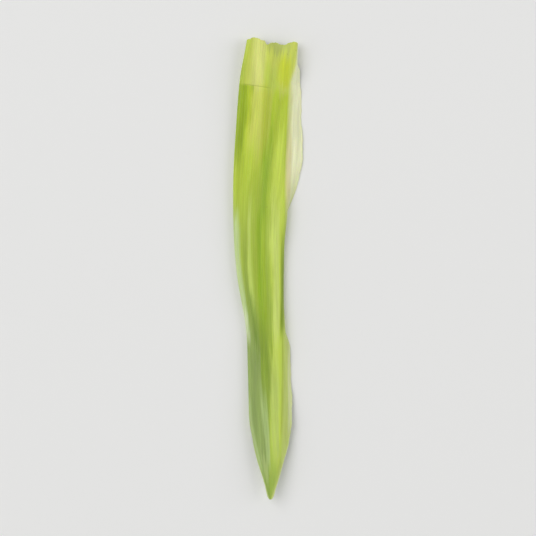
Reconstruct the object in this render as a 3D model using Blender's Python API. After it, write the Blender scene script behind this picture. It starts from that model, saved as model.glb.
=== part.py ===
"""A cut pandan leaf, frozen flat: one strap-shaped blade with its square-cut end at +Y and its pointed tip
at -Y. A midrib runs down the middle as a valley on the upper face and a keel below, and a pleat runs down
each side. Being pressed flat has folded the strips outside the pleats under the leaf, all but two stretches
of the right one, which lie open. The leaf rests on the folded strips. Units are millimetres until the mesh is made.
"""

import math

import bmesh
import bpy
import numpy as np

MILLIMETRE = 0.001

# Driving dimensions
LEAF_LENGTH = 145.0
BLADE_THICKNESS = 0.62
KEEL_DEPTH = 0.75
KEEL_HALF_WIDTH = 1.8
KEEL_FLANK = 1.2
KEEL_LEFT_AT_TIP = 0.35
TIP_TAPER = 30.0
VALLEY_HALF_WIDTH = 1.8
LARGEST_VALLEY_SHARE = 0.3
FOLD_RADIUS = 0.8
LEAST_FOLD = 0.9
LARGEST_FOLD_PER_STRIP = 1.6
RIB_HEIGHT = 0.1
RIB_SPACING = 0.8
CROWN_ANGLE = math.radians(7)

# The leaf by its distance from the cut end, as (distance, value) pairs.
# MIDRIB_SHIFT and MIDRIB_HEIGHT place the midrib across and above the surface.
MIDRIB_SHIFT = [(0, 2.4), (32, -0.3), (62, -2.5), (90, -1.8), (112, -0.9), (133, 0.3), (145, 0.85)]
MIDRIB_HEIGHT = [(0, 2.8), (18, 1.4), (36, 0.95), (104, 0.95), (122, 1.5), (145, 4.9)]

# Width of the blade from the midrib to each pleat, and of the strip outside each pleat.
LEFT_INNER = [(0, 9.3), (14, 10.5), (32, 10.4), (53, 9.1), (74, 7.7), (96, 5.1), (118, 5.5), (131, 3.4),
              (138, 1.65), (145, 0.3)]
LEFT_STRIP = [(0, 5.6), (60, 5.4), (90, 3.5), (118, 2.2), (131, 0.9), (145, 0.2)]
RIGHT_INNER = [(0, 7.4), (7, 7.5), (14, 6.2), (40, 7.2), (56, 8.4), (66, 7.9), (90, 7.1), (112, 5.9),
               (131, 4.1), (138, 2.3), (145, 0.3)]
RIGHT_STRIP = [(0, 4.2), (7, 3.2), (12, 3.5), (18, 4.5), (36, 5.1), (48, 4.2), (56, 3.3), (64, 4.0),
               (74, 4.6), (92, 3.0), (110, 3.2), (124, 2.7), (133, 1.2), (145, 0.2)]

# Slope of the blade up to each pleat, and how far the strip turns down and under there, in degrees.
LEFT_SLOPE = [(0, 9), (30, 10), (60, 12), (96, 19), (125, 22), (145, 26)]
LEFT_TURN = [(0, 172), (60, 168), (96, 174), (112, 168), (124, 120), (134, 45), (145, 20)]
RIGHT_SLOPE = [(0, 17), (7, 21), (20, 15), (40, 13), (57, 19), (72, 14), (92, 20), (110, 19), (125, 21),
               (145, 26)]
RIGHT_TURN = [(0, 172), (5, 140), (10, 75), (18, 42), (38, 34), (48, 58), (57, 118), (66, 170), (82, 172),
              (90, 120), (98, 62), (112, 44), (145, 20)]

# A slow wave along each strip turns its edge in and out. The two sides start at different places in it.
STRIP_WAVE = math.radians(5)
STRIP_WAVE_LENGTH = 27.0
LEFT_WAVE_START = 0.6
RIGHT_WAVE_START = 2.1

# The knife left the left third of the end standing proud of the rest, with a slight ripple.
CUT_STEP = 1.5
CUT_STEP_AT = -3.1
CUT_STEP_REACH = 1.2
CUT_SHORT_SIDE = -0.9
CUT_RIPPLE = 0.45
CUT_RIPPLE_LENGTH = 6.2
CUT_RIPPLE_CREST = -0.43
CUT_REACH = 9.0

# Columns of points on each half, from the midrib out, and rows along the leaf.
VALLEY_COLUMNS = 3
INNER_COLUMNS = 8
FOLD_COLUMNS = 5
STRIP_COLUMNS = 4
ROWS = np.concatenate([np.arange(0, 12, 2.0), np.linspace(12, 122, 39), np.linspace(124.2, LEAF_LENGTH, 12)])
SECTION_STEP = 0.02


def smooth(share):
    """0 to 1 with level ends, as share goes from 0 to 1."""
    share = np.clip(share, 0, 1)
    return share * share * (3 - 2 * share)


def through(stations, at):
    """The value at one distance, on a smooth curve through the stations that doesn't overshoot them."""
    places, values = np.array(stations, float).T
    step = np.diff(places)
    rise = np.diff(values) / step
    slope = np.concatenate([rise[:1], np.zeros(len(rise) - 1), rise[-1:]])
    for i in range(1, len(rise)):
        if rise[i - 1] * rise[i] > 0:
            slope[i] = 2 * rise[i - 1] * rise[i] / (rise[i - 1] + rise[i])
    i = int(np.clip(np.searchsorted(places, at) - 1, 0, len(step) - 1))
    u = (at - places[i]) / step[i]
    ends = values[i] * (1 + 2 * u) * (1 - u) ** 2 + values[i + 1] * u * u * (3 - 2 * u)
    return ends + step[i] * u * (1 - u) * (slope[i] * (1 - u) - slope[i + 1] * u)


def column_places(inner, strip, fold):
    """Distances of the columns from the midrib, over the valley, the inner blade, the fold and the strip."""
    valley = min(VALLEY_HALF_WIDTH, LARGEST_VALLEY_SHARE * inner)
    edges = [0, valley, inner - fold / 2, inner + fold / 2, inner + strip]
    counts = [VALLEY_COLUMNS, INNER_COLUMNS, FOLD_COLUMNS, STRIP_COLUMNS]
    runs = [np.linspace(a, b, n + 1)[1:] for a, b, n in zip(edges, edges[1:], counts)]
    return np.concatenate([[0], *runs])


def half_section(row, inner_at, strip_at, slope_at, turn_at, wave_start):
    """Half the blade across one row: for each column, how far out and up its middle lies, and its slope."""
    inner = through(inner_at, row)
    strip = through(strip_at, row)
    wave = STRIP_WAVE * math.sin(2 * math.pi * row / STRIP_WAVE_LENGTH + wave_start)
    slope = math.radians(through(slope_at, row))
    turn = math.radians(through(turn_at, row)) + wave
    fold = min(max(FOLD_RADIUS * turn, LEAST_FOLD), inner, LARGEST_FOLD_PER_STRIP * strip)
    reach = np.arange(0, inner + strip + SECTION_STEP, SECTION_STEP)
    crown = CROWN_ANGLE * np.clip(1 - 2 * reach / inner, -1, 1)
    rise = (slope + crown) * smooth(reach / min(VALLEY_HALF_WIDTH, inner))
    angle = rise - turn * np.clip((reach - inner + fold / 2) / fold, 0, 1)
    out = np.concatenate([[0], np.cumsum(np.cos(angle[:-1]) * SECTION_STEP)])
    up = np.concatenate([[0], np.cumsum(np.sin(angle[:-1]) * SECTION_STEP)])
    places = column_places(inner, strip, fold)
    return [np.interp(places, reach, line) for line in (out, up, angle)] + [places]


def section(row):
    """The upper and lower points across one row, from the left edge to the right one."""
    left = half_section(row, LEFT_INNER, LEFT_STRIP, LEFT_SLOPE, LEFT_TURN, LEFT_WAVE_START)
    right = half_section(row, RIGHT_INNER, RIGHT_STRIP, RIGHT_SLOPE, RIGHT_TURN, RIGHT_WAVE_START)
    across = np.concatenate([-left[0][:0:-1], right[0]])
    height = np.concatenate([left[1][:0:-1], right[1]]) + through(MIDRIB_HEIGHT, row)
    angle = np.concatenate([-left[2][:0:-1], right[2]])
    place = np.concatenate([-left[3][:0:-1], right[3]])

    taper = smooth((LEAF_LENGTH - row) / TIP_TAPER)
    depth = KEEL_DEPTH * (KEEL_LEFT_AT_TIP + (1 - KEEL_LEFT_AT_TIP) * taper)
    keel = depth * smooth((KEEL_HALF_WIDTH - np.abs(place)) / KEEL_FLANK)
    odd = np.abs(np.arange(len(place)) - len(place) // 2) % 2
    ribs = RIB_HEIGHT * taper * odd * np.clip(np.gradient(place) / RIB_SPACING, 0, 1)
    half = BLADE_THICKNESS / 2
    height = np.maximum(height, half)
    along = cut_line(across) * smooth(1 - row / CUT_REACH) - row
    across = across + through(MIDRIB_SHIFT, row)
    upper = half + ribs
    lower = half + ribs + keel
    top = np.stack([across - np.sin(angle) * upper, along, height + np.cos(angle) * upper], axis=1)
    bottom = np.stack([across + np.sin(angle) * lower, along, height - np.cos(angle) * lower], axis=1)
    for side in (top, bottom):
        side[:, 2] = np.maximum(side[:, 2], 0)
    return top, bottom


def cut_line(across):
    """How far the cut end stands out past its mean line, at each point across it."""
    ripple = CUT_RIPPLE * np.cos(2 * math.pi * (across - CUT_RIPPLE_CREST) / CUT_RIPPLE_LENGTH)
    return CUT_SHORT_SIDE + CUT_STEP * smooth((CUT_STEP_AT - across) / CUT_STEP_REACH + 0.5) + ripple


def blade_points():
    """The upper and the lower points as [row][column], with the origin at the bottom centre of their box."""
    rows = [section(row) for row in ROWS]
    top = np.array([upper for upper, lower in rows])
    bottom = np.array([lower for upper, lower in rows])
    everything = np.concatenate([top.reshape(-1, 3), bottom.reshape(-1, 3)])
    low, high = everything.min(axis=0), everything.max(axis=0)
    origin = np.array([(low[0] + high[0]) / 2, (low[1] + high[1]) / 2, low[2]])
    return top - origin, bottom - origin


def leaf_mesh():
    """The closed blade: its upper and lower faces, the two long edges, the cut end and the tip."""
    top, bottom = blade_points()
    shape = bmesh.new()
    upper = [[shape.verts.new(point * MILLIMETRE) for point in row] for row in top]
    lower = [[shape.verts.new(point * MILLIMETRE) for point in row] for row in bottom]

    def quad(a, b, c, d):
        shape.faces.new((a, b, c))
        shape.faces.new((a, c, d))

    rows, columns = len(upper), len(upper[0])
    for i in range(rows - 1):
        for j in range(columns - 1):
            quad(upper[i][j], upper[i + 1][j], upper[i + 1][j + 1], upper[i][j + 1])
            shape.faces.new((lower[i][j], lower[i + 1][j + 1], lower[i + 1][j]))
            shape.faces.new((lower[i][j], lower[i][j + 1], lower[i + 1][j + 1]))
        quad(upper[i][0], lower[i][0], lower[i + 1][0], upper[i + 1][0])
        quad(upper[i][-1], upper[i + 1][-1], lower[i + 1][-1], lower[i][-1])
    for j in range(columns - 1):
        quad(upper[0][j], upper[0][j + 1], lower[0][j + 1], lower[0][j])
        quad(upper[-1][j], lower[-1][j], lower[-1][j + 1], upper[-1][j + 1])
    mesh = bpy.data.meshes.new("pandan_leaf")
    shape.to_mesh(mesh)
    shape.free()
    mesh.shade_smooth()
    mesh.set_sharp_from_angle(angle=math.radians(50))
    return mesh


def leaf_green():
    """The fresh yellow green of a young leaf with a waxy sheen."""
    material = bpy.data.materials.new("leaf_green")
    material.use_nodes = True
    shader = material.node_tree.nodes["Principled BSDF"]
    shader.inputs["Base Color"].default_value = (0.40, 0.53, 0.09, 1)
    shader.inputs["Roughness"].default_value = 0.42
    shader.inputs["Metallic"].default_value = 0.0
    return material


for old in list(bpy.data.objects):
    bpy.data.objects.remove(old)
leaf = bpy.data.objects.new("pandan_leaf", leaf_mesh())
leaf.data.materials.append(leaf_green())
bpy.context.scene.collection.objects.link(leaf)
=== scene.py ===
import math

import bpy
import numpy as np
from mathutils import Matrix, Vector


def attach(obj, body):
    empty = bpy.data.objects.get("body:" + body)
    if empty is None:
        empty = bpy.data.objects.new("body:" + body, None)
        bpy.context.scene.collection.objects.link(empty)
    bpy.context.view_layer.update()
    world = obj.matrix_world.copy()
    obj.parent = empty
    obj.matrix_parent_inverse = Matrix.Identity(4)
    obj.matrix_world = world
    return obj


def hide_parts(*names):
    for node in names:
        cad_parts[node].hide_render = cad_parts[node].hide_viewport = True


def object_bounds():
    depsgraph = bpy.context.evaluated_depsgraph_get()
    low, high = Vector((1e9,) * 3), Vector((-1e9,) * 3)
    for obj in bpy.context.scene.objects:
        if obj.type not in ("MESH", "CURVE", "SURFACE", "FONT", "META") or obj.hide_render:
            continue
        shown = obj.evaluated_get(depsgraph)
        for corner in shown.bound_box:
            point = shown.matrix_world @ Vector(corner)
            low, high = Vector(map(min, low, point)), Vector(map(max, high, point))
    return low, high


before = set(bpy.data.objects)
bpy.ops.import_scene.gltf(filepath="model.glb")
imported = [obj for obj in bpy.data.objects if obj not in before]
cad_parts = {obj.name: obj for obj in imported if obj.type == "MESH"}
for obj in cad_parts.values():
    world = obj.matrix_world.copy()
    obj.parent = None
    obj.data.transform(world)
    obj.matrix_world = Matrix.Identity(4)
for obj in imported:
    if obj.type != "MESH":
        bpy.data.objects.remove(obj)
cad_low, cad_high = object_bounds()

# The leaf blade: one frozen strap of living tissue that grew in a shallow M, with a midrib valley between two
# pleats. A knife cut it square, and being pressed flat folded the strips outside the pleats under it, all but
# two stretches of the right one. Sizes are millimetres, and distances run from the cut end.
MILLIMETRE = 0.001
LEAF_LENGTH = 145.0
BLADE_THICKNESS = 0.5
MARGIN_THICKNESS = 0.34
MARGIN_REACH = 1.5
THICKNESS_LEFT_AT_TIP = 0.75
KEEL_DEPTH = 0.82
KEEL_HALF_WIDTH = 1.8
KEEL_FLANK = 1.35
KEEL_LEFT_AT_TIP = 0.35
TIP_TAPER = 30.0
TIP_ROUND = 1.6
LEAST_TIP_ROUND = 0.03
TIP_SHORT = 0.12
VALLEY_HALF_WIDTH = 1.8
LARGEST_VALLEY_SHARE = 0.3
FOLD_RADIUS = 0.8
LEAST_FOLD = 0.9
LEAST_STRIP = 0.1
LARGEST_FOLD_PER_STRIP = 1.6
CROWN_ANGLE = math.radians(7)
SECTION_STEP = 0.02
NEVER_ZERO = 1e-9

# Where the midrib lies to the side and above the table, as (distance from the cut end, value) pairs.
MIDRIB_SHIFT = [(0, 2.4), (32, -0.3), (62, -2.5), (90, -1.8), (112, -0.9), (133, 0.3), (145, 0.85)]
MIDRIB_HEIGHT = [(0, 2.8), (18, 1.4), (36, 0.95), (104, 0.95), (122, 1.5), (145, 4.9)]

# Width of the blade from the midrib to each pleat, and of the strip outside each pleat.
LEFT_INNER = [(0, 9.3), (14, 10.5), (32, 10.4), (53, 9.1), (74, 7.7), (96, 5.1), (118, 5.5), (131, 3.4),
              (138, 1.65), (145, 0.3)]
LEFT_STRIP = [(0, 5.6), (60, 5.4), (90, 3.5), (118, 2.2), (131, 0.9), (145, 0.2)]
RIGHT_INNER = [(0, 7.4), (7, 7.5), (14, 6.2), (40, 7.2), (56, 8.4), (66, 7.9), (90, 7.1), (112, 5.9),
               (131, 4.1), (138, 2.3), (145, 0.3)]
RIGHT_STRIP = [(0, 4.2), (7, 3.2), (12, 3.5), (18, 4.5), (36, 5.1), (48, 4.2), (56, 3.3), (64, 4.0),
               (74, 4.6), (92, 3.0), (110, 3.2), (124, 2.7), (133, 1.2), (145, 0.2)]

# Slope of the blade up to each pleat, and how far the strip turns down and under there, in degrees.
LEFT_SLOPE = [(0, 9), (30, 10), (60, 12), (96, 19), (125, 22), (145, 26)]
LEFT_TURN = [(0, 172), (60, 168), (96, 174), (112, 168), (124, 120), (134, 45), (145, 20)]
RIGHT_SLOPE = [(0, 17), (7, 21), (20, 15), (40, 13), (57, 19), (72, 14), (92, 20), (110, 19), (125, 21),
               (145, 26)]
RIGHT_TURN = [(0, 172), (5, 140), (10, 75), (18, 42), (38, 34), (48, 58), (57, 118), (66, 170), (82, 172),
              (90, 120), (98, 62), (112, 44), (145, 20)]

# A slow wave along each strip turns its edge in and out. The two sides start at different places in it.
STRIP_WAVE = math.radians(5)
STRIP_WAVE_LENGTH = 27.0
LEFT_WAVE_START = 0.6
RIGHT_WAVE_START = 2.1

# The knife left the left third of the end standing proud of the rest, and fibres tore at its lip.
CUT_STEP = 1.5
CUT_STEP_AT = -3.1
CUT_STEP_REACH = 1.2
CUT_SHORT_SIDE = -0.9
CUT_RIPPLE = 0.45
CUT_RIPPLE_LENGTH = 6.2
CUT_RIPPLE_CREST = -0.43
CUT_REACH = 9.0
CUT_TEARS = [(0.07, 1.9, 0.3), (0.05, 0.83, 1.7), (0.035, 0.41, 4.0)]    # height, length, start
TEAR_REACH = 1.2
ROOM_FOR_FIBRES = 0.3

# Ribs run the length of the blade over its veins: broad ones, and finer ones between them.
BROAD_RIBS = 4
BROAD_RIB_HEIGHT = 0.05
FINE_RIBS = 13
FINE_RIB_HEIGHT = 0.032
FINE_RIB_ROUNDNESS = 0.7
LOWER_RIB_SCALE = 1.4
STRIP_RIBS = 5
GROOVE_DEPTH = 0.13
GROOVE_HALF_WIDTH = 0.3

# Frozen buckles of the blade: height, length along the leaf, start, and slant across it.
BUCKLES = [(0.17, 41.0, 0.4, 1.1), (0.09, 23.0, 2.6, -1.9), (0.035, 11.3, 4.4, 2.7), (0.012, 5.3, 1.2, -4.1)]
BUCKLE_EASE = 2.4

# The strips' free edges wander a little: height, length and start. Narrow strips wander less.
EDGE_WAVES = [(0.10, 8.3, 0.9), (0.05, 3.1, 2.3), (0.03, 1.37, 5.0)]
EDGE_WAVES_FULL_AT = 2.0
EDGE_WAVE_SHIFT = 10.0

# A shallow crease slants across the left half and dies out at both of its ends.
CREASE_AT = 15.1
CREASE_SLANT = 0.13
CREASE_DEPTH = 0.17
CREASE_WIDTH = 0.35
CREASE_LEFT_END = -9.6
CREASE_LEFT_FADE = 1.5
CREASE_RIGHT_END = 0.8
CREASE_RIGHT_FADE = 2.5

# Points across each half, from the midrib out, and rows down the leaf, closest at the cut, the crease and
# the tip.
VALLEY_COLUMNS = 10
INNER_COLUMNS = 44
FOLD_COLUMNS = 20
STRIP_COLUMNS = 22
MARGIN_POINTS = 3
ROWS = np.concatenate([
    np.linspace(0, 3, 10, endpoint=False),              # the cut
    np.linspace(3, 12.3, 14, endpoint=False),
    np.linspace(12.3, 16.5, 26, endpoint=False),        # the crease
    np.linspace(16.5, 133, 162, endpoint=False),        # most of the leaf
    np.linspace(133, 142.8, 22, endpoint=False),        # the point
    np.linspace(142.8, LEAF_LENGTH - TIP_SHORT, 14),    # its rounded end
])


def smooth(share):
    """0 to 1 with level ends, as share goes from 0 to 1."""
    share = np.clip(share, 0, 1)
    return share * share * (3 - 2 * share)


def through(stations, at):
    """The values at these distances, on a smooth curve through the stations that doesn't overshoot them."""
    places, values = np.array(stations, float).T
    step = np.diff(places)
    rise = np.diff(values) / step
    slope = np.concatenate([rise[:1], np.zeros(len(rise) - 1), rise[-1:]])
    for i in range(1, len(rise)):
        if rise[i - 1] * rise[i] > 0:
            slope[i] = 2 * rise[i - 1] * rise[i] / (rise[i - 1] + rise[i])
    i = np.clip(np.searchsorted(places, at) - 1, 0, len(step) - 1)
    u = (at - places[i]) / step[i]
    ends = values[i] * (1 + 2 * u) * (1 - u) ** 2 + values[i + 1] * u * u * (3 - 2 * u)
    return ends + step[i] * u * (1 - u) * (slope[i] * (1 - u) - slope[i + 1] * u)


def waves(terms, at):
    """A sum of sine waves, each with its height, its length and its start."""
    return sum(height * np.sin(2 * math.pi * at / length + start) for height, length, start in terms)


def tip_round(row):
    """How much of its width the blade keeps at this distance, so that its very tip is rounded."""
    past = max(0, (row - LEAF_LENGTH + TIP_ROUND) / TIP_ROUND)
    return math.sqrt(max(LEAST_TIP_ROUND, 1 - past ** 2))


def half_blade(inner_at, strip_at, slope_at, turn_at, wave_start):
    """Half the blade from the midrib out, as [row][column] of what each point needs."""
    kept = []
    for row in ROWS:
        inner = through(inner_at, row)
        strip = through(strip_at, row)
        strip += waves(EDGE_WAVES, row + EDGE_WAVE_SHIFT * wave_start) * min(1, strip / EDGE_WAVES_FULL_AT)
        turn = math.radians(through(turn_at, row))
        turn += STRIP_WAVE * math.sin(2 * math.pi * row / STRIP_WAVE_LENGTH + wave_start)
        fold = min(max(FOLD_RADIUS * turn, LEAST_FOLD), inner, LARGEST_FOLD_PER_STRIP * strip)
        valley = min(VALLEY_HALF_WIDTH, inner)
        reach = np.arange(0, inner + strip + SECTION_STEP, SECTION_STEP)
        crown = CROWN_ANGLE * np.clip(1 - 2 * reach / inner, -1, 1)
        rise = (math.radians(through(slope_at, row)) + crown) * smooth(reach / valley)
        angle = rise - turn * np.clip((reach - inner + fold / 2) / fold, 0, 1)
        out = np.concatenate([[0], np.cumsum(np.cos(angle[:-1]) * SECTION_STEP)])
        up = np.concatenate([[0], np.cumsum(np.sin(angle[:-1]) * SECTION_STEP)])

        valley_edge = min(valley, LARGEST_VALLEY_SHARE * inner)
        edges = [0, valley_edge, inner - fold / 2, inner + fold / 2, inner + strip]
        counts = [VALLEY_COLUMNS, INNER_COLUMNS, FOLD_COLUMNS, STRIP_COLUMNS]
        runs = [np.linspace(a, b, n + 1)[1:] for a, b, n in zip(edges, edges[1:], counts)]
        place = np.concatenate([[0], *runs])
        line = [np.interp(place, reach, values) for values in (out, up, angle)]
        line[0] = line[0] * tip_round(row)
        line[1] = line[1] * tip_round(row)
        kept.append(line + [place, place / inner, place - inner, inner + strip - place, place * 0 + strip])
    return np.array(kept).transpose(1, 0, 2)


def mirrored(left, right, sign):
    """Both halves as one run of columns, the left one reversed. Sign is -1 for what changes side with it."""
    return np.concatenate([sign * left[:, :0:-1], right], axis=1)


left = half_blade(LEFT_INNER, LEFT_STRIP, LEFT_SLOPE, LEFT_TURN, LEFT_WAVE_START)
right = half_blade(RIGHT_INNER, RIGHT_STRIP, RIGHT_SLOPE, RIGHT_TURN, RIGHT_WAVE_START)
SIGNS = (-1, 1, -1, -1, -1, 1, 1, 1)
out, up, angle, across, share, past_pleat, to_margin, strip_width = (
    mirrored(a, b, sign) for a, b, sign in zip(left, right, SIGNS)
)
along = np.repeat(ROWS[:, None], across.shape[1], axis=1)
taper = smooth((LEAF_LENGTH - along) / TIP_TAPER)

# Buckles and the crease lift or sink the middle of the blade along its own normal.
flat = smooth(np.abs(past_pleat) / BUCKLE_EASE) * smooth(np.abs(across) / BUCKLE_EASE) * taper
lift = sum(
    height * np.sin(2 * math.pi * along / length + start + slant * share)
    for height, length, start, slant in BUCKLES
) * flat
crease_line = along - CREASE_AT - CREASE_SLANT * across
crease_part = smooth((across - CREASE_LEFT_END) / CREASE_LEFT_FADE)
crease_part *= smooth((CREASE_RIGHT_END - across) / CREASE_RIGHT_FADE)
lift -= CREASE_DEPTH * np.exp(-np.abs(crease_line) / CREASE_WIDTH) * crease_part

# The sheet midway between the skins. The table presses it flat where it would come nearer than half the
# blade's thickness.
cut_line = CUT_SHORT_SIDE + CUT_STEP * smooth((CUT_STEP_AT - out) / CUT_STEP_REACH + 0.5)
cut_line += CUT_RIPPLE * np.cos(2 * math.pi * (out - CUT_RIPPLE_CREST) / CUT_RIPPLE_LENGTH)
tears = waves(CUT_TEARS, out) * smooth(1 - along / TEAR_REACH)
free_height = up + through(MIDRIB_HEIGHT, ROWS)[:, None]
least_height = BLADE_THICKNESS / 2 * np.abs(np.cos(angle))
middle = np.stack([
    out + through(MIDRIB_SHIFT, ROWS)[:, None] - np.sin(angle) * lift,
    (cut_line - ROOM_FOR_FIBRES) * smooth(1 - along / CUT_REACH) + tears - along,
    np.maximum(free_height, least_height) + np.cos(angle) * lift,
], axis=2)

# The way out of the upper face at each point. Pressed points no longer show how the blade leans across, so
# its angle tells it there. Where points meet in one place, the way out is straight up.
down_leaf = np.gradient(middle, axis=0)
across_leaf = np.gradient(middle, axis=1)
pressed = free_height < least_height
across_leaf[pressed] = np.stack([np.cos(angle), angle * 0, np.sin(angle)], axis=2)[pressed]
normal = np.cross(across_leaf, -down_leaf)
normal /= np.maximum(np.linalg.norm(normal, axis=2, keepdims=True), NEVER_ZERO)
normal[..., 2] = np.where(np.abs(normal).sum(axis=2) < 0.5, 1, normal[..., 2])

# The upper face has rounded ribs with a sharp groove over the midrib. The lower face has the same ribs,
# standing out more, and the midrib's keel.
depth = KEEL_DEPTH * (KEEL_LEFT_AT_TIP + (1 - KEEL_LEFT_AT_TIP) * taper)
keel = depth * smooth((KEEL_HALF_WIDTH - np.abs(across)) / KEEL_FLANK)
groove = GROOVE_DEPTH * taper * np.exp(-(across / GROOVE_HALF_WIDTH) ** 2)
inner_vein = np.minimum(np.abs(share), 1)
strip_vein = np.maximum(past_pleat, 0) / np.maximum(strip_width, LEAST_STRIP)
broad = np.sin(math.pi * inner_vein * BROAD_RIBS) ** 2
fine_number = inner_vein * FINE_RIBS + strip_vein * STRIP_RIBS
fine = np.abs(np.sin(math.pi * fine_number)) ** FINE_RIB_ROUNDNESS
ribs = (BROAD_RIB_HEIGHT * broad + FINE_RIB_HEIGHT * fine) * taper
thin = MARGIN_THICKNESS + (BLADE_THICKNESS - MARGIN_THICKNESS) * smooth(to_margin / MARGIN_REACH)
thin *= THICKNESS_LEFT_AT_TIP + (1 - THICKNESS_LEFT_AT_TIP) * taper
thin *= np.sqrt([[tip_round(row)] for row in ROWS])
upper_points = middle + normal * (thin / 2 + ribs - groove)[..., None]
lower_points = middle - normal * (thin / 2 + LOWER_RIB_SCALE * ribs + keel)[..., None]

rows, columns = along.shape


def margin_points(column, side):
    """The rounded free edge at one side, as [row][point], from the upper face round to the lower one."""
    centre = (upper_points[:, column] + lower_points[:, column]) / 2
    half = (upper_points[:, column] - lower_points[:, column]) / 2
    outward = side * across_leaf[:, column]
    outward /= np.maximum(np.linalg.norm(outward, axis=1, keepdims=True), NEVER_ZERO)
    radius = np.linalg.norm(half, axis=1, keepdims=True)
    turns = math.pi * np.arange(1, MARGIN_POINTS + 1) / (MARGIN_POINTS + 1)
    return np.stack([centre + half * math.cos(a) + outward * radius * math.sin(a) for a in turns], axis=1)


# The cut face: flesh sunk a little between the two skins, with the ends of the vein bundles standing in it.
# It has as many points between the skins as a margin does.
FLESH_SINK = 0.07
BUNDLE_STAND = 0.12
shares = np.arange(1, MARGIN_POINTS + 1) / (MARGIN_POINTS + 1)
bundle = (1 - fine[0]) ** 2
face_points = np.stack([
    upper_points[0] * (1 - f) + lower_points[0] * f
    + np.outer((BUNDLE_STAND * bundle - FLESH_SINK) * math.sin(math.pi * f), (0, 1, 0))
    for f in shares
], axis=1)

right_margin = margin_points(-1, 1)
left_margin = margin_points(0, -1)
blocks = [upper_points, lower_points, right_margin, left_margin, face_points]
starts = np.cumsum([0] + [block.shape[0] * block.shape[1] for block in blocks])
number = [np.arange(a, b).reshape(block.shape[:2]) for block, a, b in zip(blocks, starts, starts[1:])]
upper, lower, right_edge, left_edge, face = number
points = np.concatenate([block.reshape(-1, 3) for block in blocks])

# Each row is one ring: the upper face left to right, the right margin, the lower face back, the left margin.
# The slots are the places of the three materials on the mesh.
UPPER_SLOT = 0
LOWER_SLOT = 1
FLESH_SLOT = 2
ring = np.concatenate([upper, right_edge, lower[:, ::-1], left_edge[:, ::-1]], axis=1)
after = np.roll(ring, -1, axis=1)
skin = np.stack([ring[:-1], ring[1:], after[1:], after[:-1]], axis=2)
ring_slots = np.full(ring.shape[1], UPPER_SLOT)
ring_slots[columns + MARGIN_POINTS:2 * columns + MARGIN_POINTS] = LOWER_SLOT
skin_slots = np.tile(ring_slots, (rows - 1, 1)).ravel()

# The cut face joins chains of points, each from the upper skin down to the lower one. Margins close its ends.
chains = [np.concatenate([[upper[0, 0]], left_edge[0], [lower[0, 0]]])]
chains += [np.concatenate([[upper[0, j]], face[j], [lower[0, j]]]) for j in range(columns)]
chains += [np.concatenate([[upper[0, -1]], right_edge[0], [lower[0, -1]]])]
cut_faces = []
for one, other in zip(chains, chains[1:]):
    for a, b, c, d in zip(one, other, other[1:], one[1:]):
        corners = list(dict.fromkeys([int(a), int(b), int(c), int(d)]))
        if len(corners) > 2:
            cut_faces.append(corners)
tip_face = [int(v) for v in ring[-1, ::-1]]

# The blade is set in the shared frame, and its width is fitted to the solid's, less a little on each side.
SIDE_ROOM = 0.03
SHARP_EDGE = math.radians(60)
reach_out = (points[:, 0].min(), points[:, 0].max())
room = (cad_low.x / MILLIMETRE + SIDE_ROOM, cad_high.x / MILLIMETRE - SIDE_ROOM)
narrowing = (room[1] - room[0]) / (reach_out[1] - reach_out[0])


def placed(found):
    """Points in the leaf's own millimetres, moved to the shared frame."""
    moved = np.array(found, float)
    moved[..., 0] = room[0] + (moved[..., 0] - reach_out[0]) * narrowing
    moved[..., 1] += LEAF_LENGTH + cad_low.y / MILLIMETRE
    moved[..., 2] = np.maximum(moved[..., 2], 0)
    return moved


blade_mesh = bpy.data.meshes.new("leaf_blade")
faces = [list(map(int, f)) for f in skin.reshape(-1, 4)] + cut_faces + [tip_face]
blade_mesh.from_pydata((placed(points) * MILLIMETRE).tolist(), [], faces)
slots = np.concatenate([skin_slots, np.full(len(cut_faces), FLESH_SLOT), [UPPER_SLOT]])
blade_mesh.polygons.foreach_set("material_index", slots.astype(np.int32))
blade_mesh.shade_smooth()
blade_mesh.set_sharp_from_angle(angle=SHARP_EDGE)


def store(name, values, on_face):
    """A value for every vertex: the blade's by row and column, its margins', and the cut face's."""
    run = np.concatenate([
        values.ravel(), values.ravel(),
        np.repeat(values[:, -1], MARGIN_POINTS), np.repeat(values[:, 0], MARGIN_POINTS),
        on_face.ravel(),
    ])
    stored = blade_mesh.attributes.new(name, "FLOAT", "POINT")
    stored.data.foreach_set("value", run.astype(np.float32))


measures = {
    "along": along, "across": across, "share": share, "past_pleat": past_pleat, "to_margin": to_margin,
}
for name, values in measures.items():
    store(name, values, np.repeat(values[0], MARGIN_POINTS))
store("depth", along * 0, np.tile(shares, (columns, 1)))
blade_mesh.validate()
blade_mesh.update()

blade = bpy.data.objects.new("leaf_blade", blade_mesh)
bpy.context.scene.collection.objects.link(blade)
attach(blade, "root")
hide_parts("pandan_leaf")


def linear(code):
    """A colour written as #rrggbb, in the linear values that shaders use."""
    parts = [int(code[i:i + 2], 16) / 255 for i in (1, 3, 5)]
    return [p / 12.92 if p <= 0.04045 else ((p + 0.055) / 1.055) ** 2.4 for p in parts] + [1.0]


def add(tree, kind, inputs=(), **settings):
    """A new node. Its inputs are set by name or number, to a value or linked from a socket."""
    made = tree.nodes.new(kind)
    for name, value in settings.items():
        setattr(made, name, value)
    for name, value in dict(inputs).items():
        if isinstance(value, bpy.types.NodeSocket):
            tree.links.new(value, made.inputs[name])
        else:
            made.inputs[name].default_value = value
    return made


def maths(tree, operation, *values):
    """One Math node's result."""
    return add(tree, "ShaderNodeMath", dict(enumerate(values)), operation=operation).outputs[0]


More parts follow.
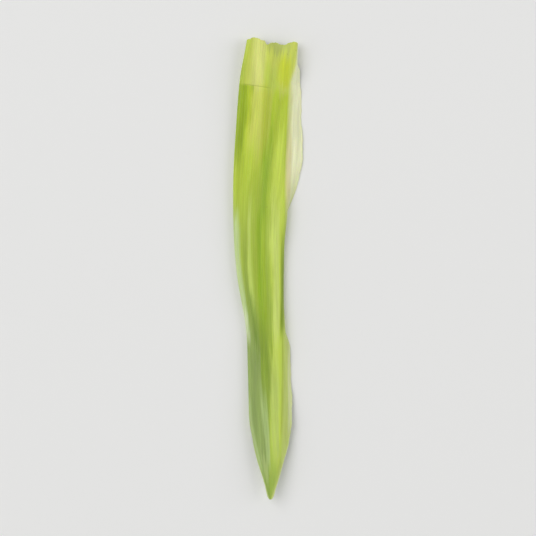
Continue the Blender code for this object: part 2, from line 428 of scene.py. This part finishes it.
def ease(tree, value, start, end, low=0.0, high=1.0):
    """Low at start and high at end, with level ends."""
    given = {"Value": value, "From Min": start, "From Max": end, "To Min": low, "To Max": high}
    return add(tree, "ShaderNodeMapRange", given, interpolation_type="SMOOTHSTEP").outputs[0]


def product(tree, *values):
    """All the values multiplied together."""
    made = values[0]
    for value in values[1:]:
        made = maths(tree, "MULTIPLY", made, value)
    return made


def within(tree, value, edges):
    """1 between the middle two of four edges, easing to 0 at the outer two."""
    return product(tree, ease(tree, value, edges[0], edges[1]), ease(tree, value, edges[3], edges[2]))


def laid_over(tree, under, over, mask):
    """One colour laid over another where the mask is 1."""
    mix = add(tree, "ShaderNodeMix", {"Factor": mask}, data_type="RGBA")
    for socket, colour in (("A", under), ("B", over)):
        target = [s for s in mix.inputs if s.name == socket and s.type == "RGBA"][0]
        if isinstance(colour, bpy.types.NodeSocket):
            tree.links.new(colour, target)
        else:
            target.default_value = linear(colour)
    return [s for s in mix.outputs if s.type == "RGBA"][0]


def noise(tree, x, y, rates, detail=3.0, roughness=0.55):
    """Noise over two coordinates, about 0.5 on average. Rates are how fast it changes along each of them."""
    scaled = {"X": product(tree, x, rates[0]), "Y": product(tree, y, rates[1])}
    place = add(tree, "ShaderNodeCombineXYZ", scaled).outputs[0]
    given = {"Vector": place, "Scale": 1.0, "Detail": detail, "Roughness": roughness}
    return add(tree, "ShaderNodeTexNoise", given).outputs["Fac"]


def line_at_whole(tree, value, edge, core=0.0):
    """A line at each whole number, from edge to core, where 0 is on the number and 1 is farthest off it."""
    wave = maths(tree, "SINE", product(tree, value, math.pi))
    return ease(tree, maths(tree, "ABSOLUTE", wave), edge, core)


def weighted(tree, terms):
    """The sum of some values, each times its own weight."""
    total = 0.0
    for value, weight in terms:
        total = maths(tree, "MULTIPLY_ADD", value, weight, total)
    return total


def measure(tree, name):
    """One of the blade's own measures, stored on its points."""
    return add(tree, "ShaderNodeAttribute", attribute_name=name).outputs["Fac"]


def new_group(name, takes, gives):
    """An empty shader node group with its inputs and outputs, each named with its type."""
    group = bpy.data.node_groups.new(name, "ShaderNodeTree")
    kinds = {"value": "NodeSocketFloat", "colour": "NodeSocketColor"}
    for words, in_out in ((takes, "INPUT"), (gives, "OUTPUT")):
        for title, kind in words.items():
            group.interface.new_socket(name=title, in_out=in_out, socket_type=kinds[kind])
    return group, add(group, "NodeGroupInput"), add(group, "NodeGroupOutput")


# What the veins do to both skins: thin lines down the leaf with streaks between them, the fine cross veins
# that tie them together, and the small pits and wrinkles of the frozen surface. Here and in the tissue, t and
# x are millimetres along and across the leaf, and s is the share of the way from the midrib to a pleat.
MINOR_VEINS = 3
veins, veins_in, veins_out = new_group(
    "leaf_veins",
    {"Along": "value", "Across": "value", "Share": "value"},
    {"Line": "value", "Streak": "value", "Drift": "value", "Height": "value"},
)
t, x, s = (veins_in.outputs[name] for name in ("Along", "Across", "Share"))
vein_number = product(veins, s, FINE_RIBS)
vein_line = line_at_whole(veins, vein_number, 0.45)
minor_line = line_at_whole(veins, product(veins, vein_number, MINOR_VEINS), 0.5)
streak = noise(veins, x, t, (3.3, 0.045), detail=5.0, roughness=0.78)
drift = noise(veins, x, t, (0.45, 0.045), detail=2.0, roughness=0.5)
pits = noise(veins, x, t, (5.0, 1.75))
wrinkles = noise(veins, x, t, (0.4, 1.9), roughness=0.5)
tie_place = add(veins, "ShaderNodeCombineXYZ", {"X": vein_number, "Y": product(veins, t, 1.15)}).outputs[0]
ties = add(veins, "ShaderNodeTexVoronoi", {"Vector": tie_place, "Scale": 1.0}, feature="DISTANCE_TO_EDGE")
tie_line = ease(veins, ties.outputs["Distance"], 0.07, 0.0)
found = {
    "Line": weighted(veins, [(vein_line, 0.65), (minor_line, 0.35)]),
    "Streak": streak,
    "Drift": drift,
    "Height": weighted(
        veins,
        [(pits, 0.8), (wrinkles, 1.1), (tie_line, 0.25), (vein_line, -0.45), (minor_line, -0.25)],
    ),
}
for title, socket in found.items():
    veins.links.new(socket, veins_out.inputs[title])

# The tissue's own colour, seen through both skins, with light and shade painted into it. It is yellow at the
# cut end, which grew in the shade, and greener down the blade. A pale crest runs along each side of the deep
# green midrib: the crests are partly a painted highlight, and the midrib's green is partly painted shade in
# its valley. The strips outside the pleats are cream where they lie open near the cut end, partly their own
# pale colour and partly a painted sheen.
LEAF_UPPER = "#b8ce3c"
LEAF_MIDDLE = "#b2c94a"
PALE_RIM_AND_HIGHLIGHT = "#c9de9c"
RIM_HIGHLIGHT = "#dde8c0"
FOLD_SHADE_OLIVE = "#748f12"
FOLD_LINE_SHADE = "#96a02c"
CUT_END = "#d2dc62"
CREASE_SHADE = "#a3ad3c"
STRIP_CREAM_AND_SHEEN = "#f0f3c7"
STRIP_GREEN = "#bdcd6c"
STRIP_HIGHLIGHT = "#d6dea8"
STRIP_INNER = "#ced282"
OLD_BROWN = "#a88f63"
OLD_PINK = "#dacf98"
SPECK_BROWN = "#7d6b35"

# The upper face's zones of colour, in the order they are laid. Each gives its colour, then where it lies
# across the blade (-1 at the left pleat, 1 at the right one) and along it, each as the four edges it fades in
# and out between, then its strength. Edges past the leaf, such as -9 and 201, leave the zone open there.
# Some zones are painted shade and some painted highlight, as their notes say.
ZONES = [
    ("#93ab54", (-9, -8, -0.62, -0.4), (66, 88, 200, 201), 0.8),            # left side, painted shade down the leaf
    ("#93ab60", (-9, -8, -0.1, 0.08), (82, 102, 200, 201), 0.9),            # the same painted shade, up to the midrib
    ("#6f8f2c", (-0.66, -0.5, -0.28, -0.04), (79, 86, 92, 101), 0.7),       # deeper painted shade within it
    ("#b8d085", (-0.34, -0.18, 0.08, 0.15), (106, 116, 130, 140), 0.85),    # lighter by the midrib's low end
    ("#90ac10", (-9, -8, -0.77, -0.64), (3, 11, 28, 42), 0.8),              # left edge: deeper green, painted shade
    ("#98b41a", (-0.82, -0.75, -0.68, -0.58), (14, 18, 27, 36), 0.45),      # a streak at the crest's foot
    ("#bfd22c", (-0.71, -0.61, -0.53, -0.46), (11, 15, 26, 40), 0.75),      # lime band of the left crest
    ("#c6d836", (-0.74, -0.66, -0.52, -0.46), (11, 14, 17, 22), 0.6),       # brighter below the crease
    ("#dae268", (-0.66, -0.53, -0.25, -0.1), (8, 12, 25, 44), 0.9),         # the crest's yellow band
    ("#a5bc38", (-0.36, -0.28, -0.1, 0.02), (36, 50, 84, 98), 0.75),        # left foot of the midrib
    ("#c4d96c", (-0.52, -0.46, -0.39, -0.33), (40, 60, 78, 92), 0.8),       # a pale vein on the left side
    ("#869d3a", (-0.76, -0.66, -0.58, -0.48), (54, 72, 80, 98), 0.55),      # painted shade of the fold beside it
    ("#b6cc24", (0.08, 0.25, 2.0, 3.0), (12, 17, 26, 38), 0.85),            # right side below the cut end
    ("#a2bb1c", (0.3, 0.4, 0.46, 0.56), (17, 21, 27, 33), 0.5),             # a green streak in it
    ("#94b718", (-0.2, -0.06, 0.12, 0.34), (18, 31, 82, 104), 0.95),        # midrib, partly painted valley shade
    ("#bcc544", (-0.3, -0.16, 0.06, 0.2), (13, 17, 29, 40), 0.7),           # its yellower start
    ("#aac326", (0.04, 0.1, 0.18, 0.26), (48, 60, 80, 94), 0.6),            # lighter band on its right
    ("#88a524", (-0.24, -0.12, 0.12, 0.34), (80, 98, 106, 118), 0.85),      # its deeper low end
    ("#c6da4e", (0.28, 0.6, 0.82, 1.02), (14, 44, 128, 138), 0.9),          # right crest, partly painted highlight
    ("#d3e578", (0.5, 0.6, 0.72, 0.84), (46, 62, 92, 106), 0.75),           # its palest band: painted highlight
    ("#d0e270", (0.36, 0.46, 0.56, 0.66), (44, 53, 66, 76), 0.55),          # pale along its inner side
    ("#9bb91c", (0.06, 0.16, 0.32, 0.46), (36, 44, 52, 60), 0.5),           # green between it and the midrib
    ("#b4cb44", (-0.24, -0.14, -0.06, 0.04), (36, 43, 50, 58), 0.55),       # lighter on the midrib's left
    ("#97b130", (0.2, 0.3, 0.42, 0.55), (64, 74, 95, 106), 0.75),           # shade inside the right crest
    ("#bfd367", (0.24, 0.44, 0.74, 0.9), (95, 110, 126, 138), 0.9),         # the crest's low end
    ("#98b23a", (0.34, 0.44, 0.52, 0.62), (78, 86, 94, 102), 0.6),          # a darker streak in the crest
    ("#7f9b30", (0.02, 0.12, 0.26, 0.38), (88, 98, 114, 124), 0.55),        # thin shade beside the midrib
    ("#8eab41", (-9, -8, 8, 9), (130, 142, 200, 201), 0.7),                 # tip
    ("#bccd84", (-0.95, -0.7, -0.3, -0.05), (129, 134, 139, 143), 0.6),     # paler left side of the tip
]

# The cut end's zones, laid over its own yellow. Their places across are millimetres from the midrib. The
# first is a painted highlight and the second painted shade along the cut.
CUT_END_ZONES = [
    ("#e2e685", (-8, -5.6, -3.6, -2.0), (-99, -98, 98, 99), 1.0),           # painted highlight down the left
    ("#b6c068", (-4, -1, 3.5, 6), (-99, -98, 1.0, 4.5), 0.8),               # painted shade along the cut
    ("#b7cd4c", (-3.8, -1.6, 1.8, 3.6), (6, 11, 15, 18), 0.6),              # greener over the midrib
    ("#d3de2c", (0.4, 3.5, 5.0, 6.9), (2.0, 8.0, 12, 15.5), 0.9),           # bright patch on the right
    ("#dcea92", (6.9, 7.9, 9.4, 10.2), (-0.5, 1.5, 4, 7), 0.7),             # pale right corner
]
tissue_and_light, tissue_in, tissue_out = new_group(
    "leaf_tissue_and_light",
    {"Along": "value", "Across": "value", "Share": "value", "Past Pleat": "value", "Streak": "value",
     "Drift": "value"},
    {"Colour": "colour"},
)


def patch(under, over, strength, *places):
    """A colour laid over the tissue where all the places meet, each a value and its four edges."""
    masks = [within(tissue_and_light, value, edges) for value, edges in places]
    return laid_over(tissue_and_light, under, over, product(tissue_and_light, *masks, strength))


# The veins' streaks make the edges of the zones uneven: by a share of the width, and by millimetres along,
# less of them near the cut end and wherever an edge is sharp.
SHARE_UNEVEN = 0.3
LONG_UNEVEN = 20.0
SHORT_UNEVEN = 11.0
names = ("Along", "Across", "Share", "Past Pleat", "Streak", "Drift")
t, x, s, past, streak, drift = (tissue_in.outputs[name] for name in names)
uneven = maths(tissue_and_light, "ADD", streak, maths(tissue_and_light, "SUBTRACT", drift, 1.0))
s_worn = maths(tissue_and_light, "MULTIPLY_ADD", uneven, SHARE_UNEVEN, s)
t_worn = maths(tissue_and_light, "MULTIPLY_ADD", uneven, LONG_UNEVEN, t)
t_near = maths(tissue_and_light, "MULTIPLY_ADD", uneven, SHORT_UNEVEN, t)
colour = laid_over(tissue_and_light, LEAF_UPPER, LEAF_MIDDLE, ease(tissue_and_light, t_worn, 40, 64))
for zone, place_across, place_along, strength in ZONES:
    colour = patch(colour, zone, strength, (s_worn, place_across), (t_worn, place_along))

# The rounded folds. The left one has a pale rim, partly the edge's own paler colour and partly a painted
# highlight, palest near the lower end of its stretch, and a fainter stretch of it near the tip. The right one
# has painted olive shade where the strip turns under, away from the light, and a thinner line of it lower
# down.
on_left = (x, (-99, -98, -0.2, 0.2))
on_right = (x, (-0.2, 0.2, 98, 99))
left_rim = (s_worn, (-9, -8, -0.88, -0.74))
low_left_rim = (s_worn, (-9, -8, -0.97, -0.84))
colour = patch(colour, PALE_RIM_AND_HIGHLIGHT, 0.9, on_left, left_rim, (t_near, (50, 59, 86, 96)))
colour = patch(colour, RIM_HIGHLIGHT, 0.65, on_left, left_rim, (t_near, (82, 87, 92, 97)))
colour = patch(colour, PALE_RIM_AND_HIGHLIGHT, 0.45, on_left, low_left_rim, (t, (108, 116, 132, 140)))
colour = patch(colour, FOLD_SHADE_OLIVE, 0.9, on_right, (past, (-1.4, -0.6, 1, 2)), (t, (56, 72, 89, 96)))
colour = patch(colour, FOLD_LINE_SHADE, 0.55, on_right, (past, (-0.5, -0.2, 0.2, 0.6)), (t, (90, 97, 120, 128)))

# Above the crease the leaf is yellow. The change is sharp on the left, where the crease is, and soft on the
# right. Painted shade darkens the crease itself in a thin line.
crease_place = maths(tissue_and_light, "MULTIPLY_ADD", x, -CREASE_SLANT, t)
crease_near = maths(tissue_and_light, "MULTIPLY_ADD", uneven, SHORT_UNEVEN, crease_place)
crisp = ease(tissue_and_light, crease_place, CREASE_AT + 0.6, CREASE_AT - 0.4)
soft = ease(tissue_and_light, crease_near, CREASE_AT + 3.2, CREASE_AT - 1.6)
softness = ease(tissue_and_light, x, -6.2, -4.4)
above_crease = add(tissue_and_light, "ShaderNodeMix", {"Factor": softness, "A": crisp, "B": soft}).outputs[0]
end_colour = CUT_END
for zone, place_across, place_along, strength in CUT_END_ZONES:
    end_colour = patch(end_colour, zone, strength, (x, place_across), (t_near, place_along))
inside_fold = ease(tissue_and_light, s, -0.98, -0.74, 0.25, 0.88)
colour = laid_over(tissue_and_light, colour, end_colour, product(tissue_and_light, above_crease, inside_fold))
off_crease = maths(tissue_and_light, "ABSOLUTE", maths(tissue_and_light, "SUBTRACT", crease_place, CREASE_AT))
on_crease = (off_crease, (-2, -1, 0.08, 0.32))
colour = patch(colour, CREASE_SHADE, 0.5, on_crease, (x, (CREASE_LEFT_END, -8.5, -2.5, 0.6)))

# The strips outside the pleats: cream near the cut end, partly their own pale colour and partly a painted
# sheen, greener further down, with a painted highlight along their outer part lower down. Along the inner
# edge of the open one run a faint brown line, a yellower band and a pinkish one.
strip_colour_and_sheen = laid_over(tissue_and_light, STRIP_CREAM_AND_SHEEN, STRIP_GREEN, ease(tissue_and_light, t_worn, 40, 60))
strip_highlight_place = (past, (1.4, 2.1, 8, 9))
strip_colour_and_sheen = patch(strip_colour_and_sheen, STRIP_HIGHLIGHT, 0.75, strip_highlight_place, (t_near, (92, 101, 118, 127)))
past_fold = maths(tissue_and_light, "MULTIPLY_ADD", within(tissue_and_light, *on_left), -0.8, past)
colour = laid_over(tissue_and_light, colour, strip_colour_and_sheen, ease(tissue_and_light, past_fold, -0.6, 0.7))
patchy = (noise(tissue_and_light, t, x, (0.11, 0.11), detail=2.0), (0.4, 0.55, 2, 3))
inner_line = (past, (-0.6, 0.0, 0.4, 1.2))
inner_edge = (past, (-0.6, 0.0, 0.6, 1.6))
pink_edge = (past, (-0.8, 0.1, 1.0, 1.9))
colour = patch(colour, OLD_BROWN, 0.15, on_right, inner_line, (t, (10, 18, 34, 46)), patchy)
colour = patch(colour, STRIP_INNER, 0.6, on_right, inner_edge, (t, (12, 19, 30, 40)))
colour = patch(colour, OLD_PINK, 0.7, on_right, pink_edge, (t_near, (26, 37, 47, 54)))

# A few small brown specks, one in each cell of a coarse net whose number, drawn by chance, is high.
SPECK_NET = 0.42
SPECK_STRETCH = 0.7
net = add(tissue_and_light, "ShaderNodeCombineXYZ", {"X": x, "Y": product(tissue_and_light, t, SPECK_STRETCH)}).outputs[0]
cells = add(tissue_and_light, "ShaderNodeTexVoronoi", {"Vector": net, "Scale": SPECK_NET})
drawn = add(tissue_and_light, "ShaderNodeSeparateColor", {"Color": cells.outputs["Color"]}).outputs[0]
speck = (cells.outputs["Distance"], (-2, -1, 0.035, 0.075))
colour = patch(colour, SPECK_BROWN, 0.6, speck, (drawn, (0.8, 0.84, 2, 3)))
tissue_and_light.links.new(colour, tissue_out.inputs["Colour"])

# Both skins lie over that tissue and show it. Nearly all of a noise's values are inside NOISE_RANGE, and the
# distances of bumps and of scattered light are metres.
NOISE_RANGE = (0.3, 0.7)
MARGIN_PALE = "#dfe5a8"
MARGIN_PALE_FROM = 0.28
MARGIN_PALE_FULL = 0.06
MARGIN_PALE_STRENGTH = 0.55
SCATTER_REACH = 0.0006


def skin_material(name, line_colour, line_strength, streakiness, bump_distance, tint=None):
    """A leaf skin over the tissue, with its veins. Its gloss is set by the caller."""
    material = bpy.data.materials.new(name)
    material.use_nodes = True
    tree = material.node_tree
    vein = add(tree, "ShaderNodeGroup", node_tree=veins)
    tissue_and_light_node = add(tree, "ShaderNodeGroup", node_tree=tissue_and_light)
    for title, stored in {"Along": "along", "Across": "across", "Share": "share"}.items():
        socket = measure(tree, stored)
        tree.links.new(socket, vein.inputs[title])
        tree.links.new(socket, tissue_and_light_node.inputs[title])
    tree.links.new(measure(tree, "past_pleat"), tissue_and_light_node.inputs["Past Pleat"])
    for title in ("Streak", "Drift"):
        tree.links.new(vein.outputs[title], tissue_and_light_node.inputs[title])
    colour = tissue_and_light_node.outputs["Colour"]
    if tint:
        colour = laid_over(tree, colour, *tint)
    colour = laid_over(tree, colour, line_colour, product(tree, vein.outputs["Line"], line_strength))
    value = product(tree, *[
        ease(tree, vein.outputs[title], *NOISE_RANGE, 1 - streakiness, 1 + streakiness)
        for title in ("Streak", "Drift")
    ])
    colour = add(tree, "ShaderNodeHueSaturation", {"Color": colour, "Value": value}).outputs["Color"]
    at_margin = ease(tree, measure(tree, "to_margin"), MARGIN_PALE_FROM, MARGIN_PALE_FULL)
    colour = laid_over(tree, colour, MARGIN_PALE, product(tree, at_margin, MARGIN_PALE_STRENGTH))
    shader = tree.nodes["Principled BSDF"]
    tree.links.new(colour, shader.inputs["Base Color"])
    bump = add(tree, "ShaderNodeBump", {"Height": vein.outputs["Height"], "Distance": bump_distance})
    tree.links.new(bump.outputs["Normal"], shader.inputs["Normal"])
    shader.inputs["Subsurface Weight"].default_value = 0.15
    shader.inputs["Subsurface Radius"].default_value = (0.6, 1.0, 0.25)
    shader.inputs["Subsurface Scale"].default_value = SCATTER_REACH
    return material, tree, shader, vein


# The upper skin: a thin clear wax over the tissue, a little moist, so it shines along the ribs.
upper_skin, tree, shader, vein = skin_material(
    "upper_skin", "#d6e07c", line_strength=0.34, streakiness=0.09, bump_distance=0.00004,
)
tree.links.new(ease(tree, vein.outputs["Streak"], *NOISE_RANGE, 0.36, 0.5), shader.inputs["Roughness"])
shader.inputs["Specular IOR Level"].default_value = 0.2
shader.inputs["Coat Weight"].default_value = 0.15
shader.inputs["Coat Roughness"].default_value = 0.18

# The lower skin: paler and duller, as the pores that the upper one lacks make it.
lower_skin, tree, shader, vein = skin_material(
    "lower_skin", "#dde3a6", line_strength=0.35, streakiness=0.08, bump_distance=0.00005,
    tint=("#bccb8e", 0.55),
)
tree.links.new(ease(tree, vein.outputs["Streak"], *NOISE_RANGE, 0.5, 0.62), shader.inputs["Roughness"])

# The cut flesh: wet and pale between the skins, darker round each vein bundle.
FLESH_PALE = "#d5dd9a"
BUNDLE_GREEN = "#a3b060"
FLESH_MOTTLE_RATE = 900.0
cut_flesh = bpy.data.materials.new("cut_flesh")
cut_flesh.use_nodes = True
tree = cut_flesh.node_tree
near_bundle = line_at_whole(tree, product(tree, measure(tree, "share"), FINE_RIBS), 0.5, 0.1)
mid_depth = within(tree, measure(tree, "depth"), (0.1, 0.4, 0.6, 0.9))
place = add(tree, "ShaderNodeTexCoord").outputs["Object"]
mottle = add(tree, "ShaderNodeTexNoise", {"Vector": place, "Scale": FLESH_MOTTLE_RATE}).outputs["Fac"]
patchiness = ease(tree, mottle, 0.35, 0.65, 0.25, 0.9)
colour = laid_over(tree, FLESH_PALE, BUNDLE_GREEN, product(tree, near_bundle, mid_depth, patchiness))
shader = tree.nodes["Principled BSDF"]
tree.links.new(colour, shader.inputs["Base Color"])
shader.inputs["Roughness"].default_value = 0.3
shader.inputs["Subsurface Weight"].default_value = 0.3
shader.inputs["Subsurface Radius"].default_value = (0.8, 1.0, 0.4)
shader.inputs["Subsurface Scale"].default_value = SCATTER_REACH
for material in (upper_skin, lower_skin, cut_flesh):
    blade_mesh.materials.append(material)

# The prickles: small hooked teeth of hard pale tissue that grew from both margins near the tip. Each is
# rooted in the margin's rounded edge, leans outwards and hooks towards the tip, where they are smaller.
PRICKLE_FROM = 112.0
PRICKLE_TO = 143.0
PRICKLE_SPACING = 2.1
PRICKLE_STRAY = 0.5
PRICKLE_SIZES = (0.75, 1.1)
PRICKLE_LENGTH = 0.36
PRICKLE_RADIUS = 0.13
PRICKLE_POINT = 0.012
PRICKLE_ROOT = 0.12
PRICKLE_OUTWARDS = 0.75
PRICKLE_TIPWARDS = np.array([0, -0.65, 0])
PRICKLE_HOOK_IN = 0.25
PRICKLE_HOOK_TIPWARDS = np.array([0, -0.35, 0])
PRICKLE_SIZE_AT_TIP = 0.45
PRICKLE_GROWTH = 0.125
STUB_SIDES = 8
STUB_RINGS = 4
STUB_CAP = 0.7
STUB_MOTTLE_RATE = 2500.0


def stub(base, way, length, wide, narrow, bend):
    """Points and faces of one round tapered stub that starts at base, runs along way and curves by bend."""
    way = way / np.linalg.norm(way)
    side = np.cross(way, (0.3, 0.1, 0.95))
    side /= np.linalg.norm(side)
    other = np.cross(way, side)
    made, sides = [base], []
    for k in range(STUB_RINGS):
        f = k / (STUB_RINGS - 1)
        centre = base + way * length * f + bend * length * f * f
        radius = wide + (narrow - wide) * f
        turns = 2 * math.pi * np.arange(STUB_SIDES) / STUB_SIDES
        made += [centre + radius * (side * math.cos(a) + other * math.sin(a)) for a in turns]
    made.append(base + (way + bend) * length + way * narrow * STUB_CAP)
    last = len(made) - 1
    for j in range(STUB_SIDES):
        k = (j + 1) % STUB_SIDES
        sides.append((0, 1 + k, 1 + j))
        for r in range(STUB_RINGS - 1):
            low, high = 1 + r * STUB_SIDES, 1 + (r + 1) * STUB_SIDES
            sides.append((low + j, low + k, high + k, high + j))
        top = 1 + (STUB_RINGS - 1) * STUB_SIDES
        sides.append((top + j, top + k, last))
    return made, sides


def stub_piece(name, stubs, material):
    """One piece made of many stubs, in the shared frame."""
    points, faces = [], []
    for made, sides in stubs:
        faces += [tuple(len(points) + v for v in corners) for corners in sides]
        points += list(made)
    mesh = bpy.data.meshes.new(name)
    mesh.from_pydata((placed(points) * MILLIMETRE).tolist(), [], faces)
    mesh.shade_smooth()
    mesh.materials.append(material)
    piece = bpy.data.objects.new(name, mesh)
    bpy.context.scene.collection.objects.link(piece)
    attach(piece, "root")


def plain_material(name, code, roughness):
    """A plain material, whitened a little and unevenly."""
    material = bpy.data.materials.new(name)
    material.use_nodes = True
    tree = material.node_tree
    place = add(tree, "ShaderNodeTexCoord").outputs["Object"]
    mottle = add(tree, "ShaderNodeTexNoise", {"Vector": place, "Scale": STUB_MOTTLE_RATE}).outputs["Fac"]
    colour = laid_over(tree, code, "#ffffff", product(tree, mottle, 0.25))
    tree.links.new(colour, tree.nodes["Principled BSDF"].inputs["Base Color"])
    tree.nodes["Principled BSDF"].inputs["Roughness"].default_value = roughness
    return material


chance = np.random.default_rng(11)
prickles = []
for edge, column, side in ((left_margin, 0, -1), (right_margin, -1, 1)):
    for at in np.arange(PRICKLE_FROM, PRICKLE_TO, PRICKLE_SPACING):
        row = int(np.searchsorted(ROWS, at + chance.uniform(-PRICKLE_STRAY, PRICKLE_STRAY)))
        outward = side * across_leaf[row, column] / np.linalg.norm(across_leaf[row, column])
        way = PRICKLE_OUTWARDS * outward + PRICKLE_TIPWARDS
        grown = min(1, PRICKLE_SIZE_AT_TIP + (LEAF_LENGTH - ROWS[row]) * PRICKLE_GROWTH)
        size = chance.uniform(*PRICKLE_SIZES) * grown
        base = edge[row, MARGIN_POINTS // 2] - way * PRICKLE_ROOT
        bend = PRICKLE_HOOK_TIPWARDS - PRICKLE_HOOK_IN * outward
        prickles.append(stub(base, way, PRICKLE_LENGTH * size, PRICKLE_RADIUS * size, PRICKLE_POINT, bend))
stub_piece("tip_prickles", prickles, plain_material("prickle_horn", "#c3c98a", roughness=0.4))

# The fibres: ends of the vein bundles, pale and stringy, that the knife left standing out of the cut flesh.
# Each is rooted in the middle of the flesh at its own vein, and bends a little to a side of its own.
FIBRE_RADIUS = 0.07
FIBRE_END_RADIUS = 0.042
FIBRE_ROOT = 0.15
FIBRE_STAND = (0.04, 0.26)


def swayed(sideways, along_leaf, upwards):
    """A way along the leaf, turned by chance to either side and up or down, by this much at most."""
    return np.array([chance.uniform(-sideways, sideways), along_leaf, chance.uniform(-upwards, upwards)])


vein_count = np.clip(share[0], -1, 1) * FINE_RIBS + np.sign(share[0]) * strip_vein[0] * STRIP_RIBS
fibres = []
for k in range(-FINE_RIBS - STRIP_RIBS + 1, FINE_RIBS + STRIP_RIBS):
    j = int(round(np.interp(k, vein_count, np.arange(columns))))
    base = middle[0, j] - np.array([0, FIBRE_ROOT, 0])
    way = swayed(0.2, 1, 0.15)
    bend = swayed(0.4, 0, 0.3)
    length = FIBRE_ROOT + chance.uniform(*FIBRE_STAND)
    fibres.append(stub(base, way, length, FIBRE_RADIUS, FIBRE_END_RADIUS, bend))
stub_piece("cut_end_fibres", fibres, plain_material("fibre_pale", "#dfe0b4", roughness=0.5))

# The table: a plain sheet of pale matt paper, well past the edges of every view. It lies a hair below the
# leaf, so that the two don't share one plane. Sizes from here on are metres.
FLOOR_HALF = 6.0
FLOOR_DROP = 0.00003
FLOOR_PALE = (0.86, 0.86, 0.85, 1)
corners = [(-1, -1), (1, -1), (1, 1), (-1, 1)]
floor_mesh = bpy.data.meshes.new("floor")
floor_mesh.from_pydata([(a * FLOOR_HALF, b * FLOOR_HALF, 0) for a, b in corners], [], [(0, 1, 2, 3)])
floor = bpy.data.objects.new("floor", floor_mesh)
bpy.context.scene.collection.objects.link(floor)
floor.location.z = -FLOOR_DROP
paper = bpy.data.materials.new("floor_paper")
paper.use_nodes = True
paper.node_tree.nodes["Principled BSDF"].inputs["Base Color"].default_value = FLOOR_PALE
paper.node_tree.nodes["Principled BSDF"].inputs["Roughness"].default_value = 0.85
floor_mesh.materials.append(paper)


# The light: a broad softbox overhead to the left, two smaller ones lower down on the left and the right, and
# a pale room all round.
def softbox(name, place, size, power):
    """A rectangular area lamp at a place, aimed at the leaf's middle."""
    lamp = bpy.data.lights.new(name, "AREA")
    lamp.shape = "RECTANGLE"
    lamp.size, lamp.size_y = size
    lamp.energy = power
    box = bpy.data.objects.new(name, lamp)
    box.location = place
    box.rotation_euler = Vector(place).to_track_quat("Z", "Y").to_euler()
    bpy.context.scene.collection.objects.link(box)


softbox("softbox_key", (-1.3, 0.8, 2.2), (2.2, 2.2), 34.0)
softbox("softbox_left", (-2.3, -0.6, 0.8), (1.0, 2.0), 6.5)
softbox("softbox_right", (2.1, 0.3, 1.4), (1.4, 2.0), 19.0)
world = bpy.data.worlds.new("room")
world.use_nodes = True
world.node_tree.nodes["Background"].inputs["Color"].default_value = (1, 1, 1, 1)
world.node_tree.nodes["Background"].inputs["Strength"].default_value = 0.4
bpy.context.scene.world = world
bpy.context.scene.view_settings.view_transform = "Standard"

# The camera looks straight down, as in the photograph, with the cut end at the top of the frame. Its long
# lens stands far off, so that the leaf's raised ends hardly look larger.
FRAME_SHARE = 0.86
LENS = 180
SENSOR_WIDTH = 36
camera_data = bpy.data.cameras.new("camera")
camera_data.lens = LENS
camera_data.sensor_width = SENSOR_WIDTH
camera = bpy.data.objects.new("camera", camera_data)
bpy.context.scene.collection.objects.link(camera)
half_frame = (cad_high.y - cad_low.y) / FRAME_SHARE / 2
distance = half_frame * LENS / (SENSOR_WIDTH / 2)
camera.location = ((cad_low.x + cad_high.x) / 2, (cad_low.y + cad_high.y) / 2, distance)
bpy.context.scene.camera = camera
